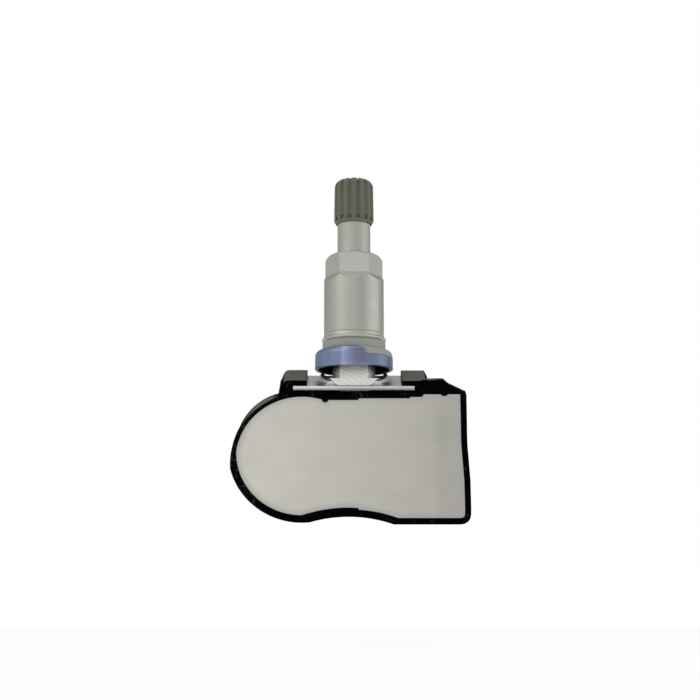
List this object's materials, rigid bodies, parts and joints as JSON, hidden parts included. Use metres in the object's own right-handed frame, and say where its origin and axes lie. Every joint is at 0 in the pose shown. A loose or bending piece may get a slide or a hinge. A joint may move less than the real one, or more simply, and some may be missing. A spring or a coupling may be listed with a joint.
{
  "type": "tyre pressure sensor",
  "caption": "Clamp-in tyre valve with ribbed cap, collar nut, rubber grommet and ball foot, held in a tilting bracket on a potted two-lobed sensor housing.",
  "frame": {"origin": "on the valve axis, in the plane where the rubber grommet sits on its metal seat ring, 3.9 mm inside the face that bears on the wheel", "axes": "+Z along the valve axis towards the cap, -Y towards the side of the potted face, +X to the right of the potted face"},
  "size_m": [0.0533, 0.024, 0.0771],
  "materials": {
    "cap_plastic": "satin moulded olive-grey plastic",
    "dark_rubber": "matt",
    "red_rubber": "matt",
    "green_rubber": "matt silicone",
    "stem_metal": "satin turned and milled",
    "nut_metal": "satin turned, milled flats",
    "washer_metal": "satin turned",
    "grommet_rubber": "matt grey",
    "ring_metal": "pressed, blue zinc passivated",
    "core_brass": "turned",
    "spring_steel": "drawn wire",
    "screw_steel": "zinc plated",
    "bracket_steel": "pressed sheet, satin",
    "housing_plastic": "glass-filled nylon, satin black",
    "potting_resin": "cast polyurethane, smooth, slightly glossy",
    "board": "green solder mask",
    "cell_steel": "nickel plated",
    "tab_metal": "nickel strip",
    "ferrite": "matt",
    "copper": "enamelled copper wire",
    "antenna_brass": "plain strip",
    "chip": "moulded package",
    "filter": "white membrane",
    "capacitor": "matt"
  },
  "bodies": {
    "valve": {"valve_stem": "stem_metal", "seat_ring": "ring_metal", "grommet": "grommet_rubber", "core_plug": "core_brass", "core_barrel": "core_brass", "core_gasket": "red_rubber", "core_spring": "spring_steel", "foot_screw": "screw_steel"},
    "core_plunger": {"core_pin": "core_brass", "core_cup": "dark_rubber"},
    "washer": {"nut_washer": "washer_metal"},
    "nut": {"collar_nut": "nut_metal"},
    "cap_disc": {"cap_seal": "dark_rubber"},
    "cap": {"valve_cap": "cap_plastic"},
    "sensor": {"bracket": "bracket_steel", "housing": "housing_plastic", "potting": "potting_resin", "circuit_board": "board", "battery": "cell_steel", "tab_front": "tab_metal", "tab_back": "tab_metal", "lf_core": "ferrite", "lf_winding": "copper", "rf_antenna": "antenna_brass", "sensor_chip": "chip", "port_seal": "green_rubber", "port_filter": "filter", "crystal": "cell_steel", "capacitors": "capacitor"}
  },
  "joints": [
    {"name": "sensor_swivel", "type": "hinge", "parent": "valve", "child": "sensor", "pos_m": [0, 0, -0.0009], "axis": [1, 0, 0], "range_deg": [-22, 1]},
    {"name": "nut_lift", "type": "slide", "parent": "valve", "child": "washer", "axis": [0, 0, 1], "range_m": [0, 0.006]},
    {"name": "nut_turn", "type": "hinge", "parent": "washer", "child": "nut", "pos_m": [0, 0, 0], "axis": [0, 0, 1], "range_deg": [0, 2161]},
    {"name": "cap_lift", "type": "slide", "parent": "valve", "child": "cap_disc", "axis": [0, 0, 1], "range_m": [0, 0.008]},
    {"name": "cap_turn", "type": "hinge", "parent": "cap_disc", "child": "cap", "pos_m": [0, 0, 0], "axis": [0, 0, 1], "range_deg": [0, 3630]},
    {"name": "core_press", "type": "slide", "parent": "valve", "child": "core_plunger", "axis": [0, 0, -1], "range_m": [0, 0.0015], "stiffness_N_per_m": 600, "springref_m": -0.003, "deforming": ["core_spring"]}
  ],
  "couplings": [
    {"joint": "nut_turn", "follows": "nut_lift", "rad_per_m": 6283.2},
    {"joint": "cap_turn", "follows": "cap_lift", "rad_per_m": 7915.8}
  ]
}
